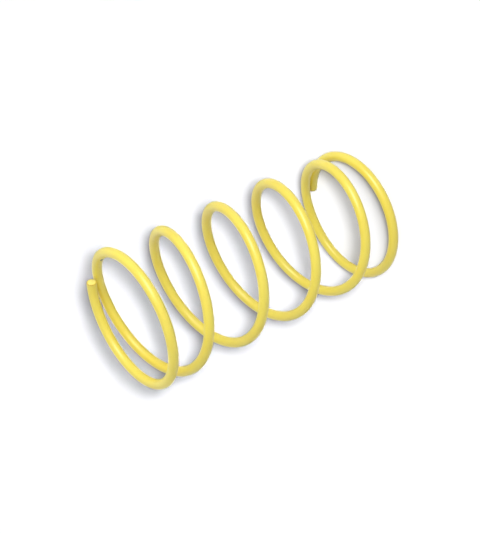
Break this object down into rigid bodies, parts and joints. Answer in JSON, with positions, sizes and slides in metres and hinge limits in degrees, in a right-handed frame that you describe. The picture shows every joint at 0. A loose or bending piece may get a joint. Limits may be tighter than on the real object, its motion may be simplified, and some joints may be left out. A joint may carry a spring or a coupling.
{
  "type": "torque spring",
  "caption": "Left-hand wound compression coil of round wire with closed, unground, square-cut ends and a yellow coating; it pushes the halves of a belt drive's driven pulley together.",
  "frame": {"origin": "on the coil's axis, level with the lowest point of the lower end turn", "axes": "+Z along the coil's axis from the lower end turn to the upper one, +X from the axis towards the lower cut tip, and +Y completes a right-handed frame"},
  "size_m": [0.0582, 0.0575, 0.114],
  "materials": {
    "coating": "semi-gloss"
  },
  "bodies": {
    "root": {"spring": "coating"}
  },
  "joints": []
}
